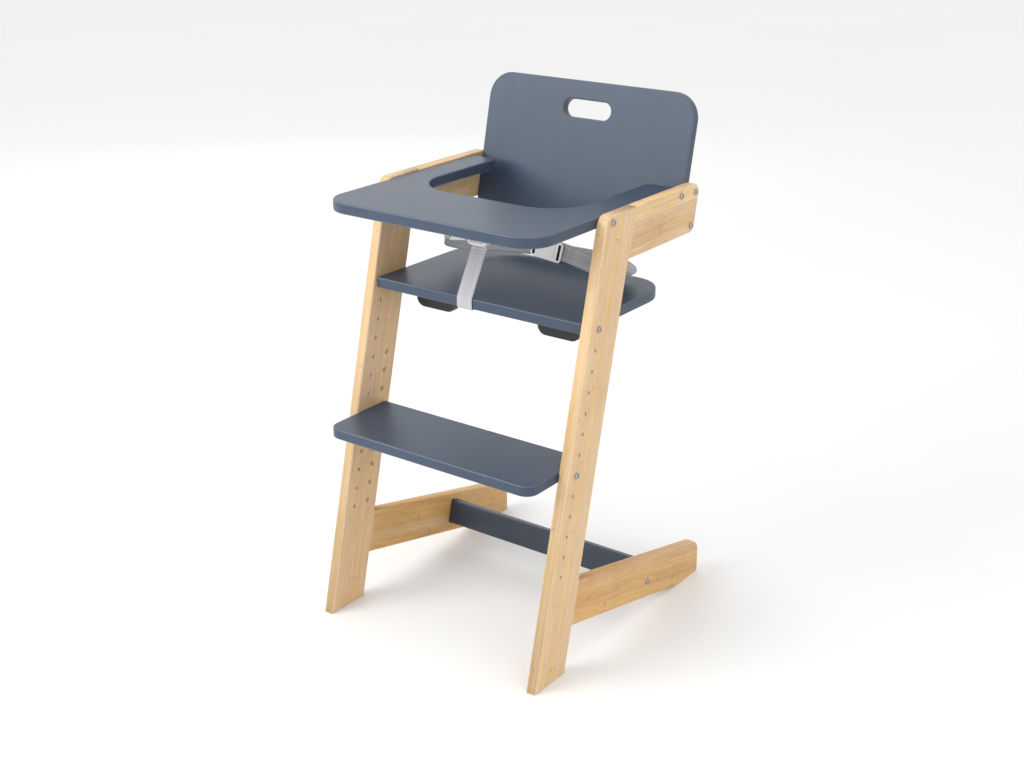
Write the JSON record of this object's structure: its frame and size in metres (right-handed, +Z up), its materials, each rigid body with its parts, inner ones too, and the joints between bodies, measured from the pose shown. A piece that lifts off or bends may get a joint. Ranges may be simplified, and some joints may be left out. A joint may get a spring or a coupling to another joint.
{
  "type": "baby high chair",
  "caption": "Wooden baby high chair with leaning side frames, painted tray, seat, backrest and footrest boards, and a webbing harness.",
  "frame": {"origin": "centre of the bounding box, on the floor", "axes": "+Z up, the chair faces -Y, +X is the sitter's left side"},
  "size_m": [0.457, 0.5134, 0.8754],
  "materials": {
    "bamboo": "clear satin lacquer",
    "paint": "satin slate-grey paint",
    "steel": "zinc plated",
    "brass": "turned",
    "beech": "plain",
    "webbing": "woven",
    "plastic": "moulded"
  },
  "bodies": {
    "frame": {"post_left": "bamboo", "arm_left": "bamboo", "foot_left": "bamboo", "post_right": "bamboo", "arm_right": "bamboo", "foot_right": "bamboo", "tray": "paint", "backrest": "paint", "stretcher": "paint", "tray_front_bolt_left": "steel", "tray_front_insert_left": "brass", "tray_front_bolt_right": "steel", "tray_front_insert_right": "brass", "tray_rear_bolt_left": "steel", "tray_rear_insert_left": "brass", "tray_rear_bolt_right": "steel", "tray_rear_insert_right": "brass", "backrest_upper_bolt_left": "steel", "backrest_upper_insert_left": "brass", "backrest_upper_bolt_right": "steel", "backrest_upper_insert_right": "brass", "backrest_lower_bolt_left": "steel", "backrest_lower_insert_left": "brass", "backrest_lower_bolt_right": "steel", "backrest_lower_insert_right": "brass", "stretcher_bolt_left": "steel", "stretcher_insert_left": "brass", "stretcher_bolt_right": "steel", "stretcher_insert_right": "brass", "stretcher_peg_left": "beech", "stretcher_peg_right": "beech"},
    "seat": {"seat": "paint", "seat_tab_left": "paint", "seat_tab_right": "paint", "seat_bolt_left": "steel", "seat_insert_left": "brass", "seat_bolt_right": "steel", "seat_insert_right": "brass", "crotch_strap": "webbing", "buckle": "plastic", "belt_left": "webbing", "adjuster_left": "plastic", "belt_right": "webbing", "adjuster_right": "plastic", "rear_anchor": "webbing"},
    "footrest": {"footrest": "paint", "footrest_bolt_left": "steel", "footrest_insert_left": "brass", "footrest_bolt_right": "steel", "footrest_insert_right": "brass", "footrest_peg_left": "beech", "footrest_peg_right": "beech"}
  },
  "joints": [
    {"name": "seat_height", "type": "slide", "parent": "frame", "child": "seat", "axis": [0, 0.2368, 0.9715], "range_m": [-0.099, 0]},
    {"name": "footrest_height", "type": "slide", "parent": "frame", "child": "footrest", "axis": [0, 0.2368, 0.9715], "range_m": [-0.165, 0.033]}
  ]
}
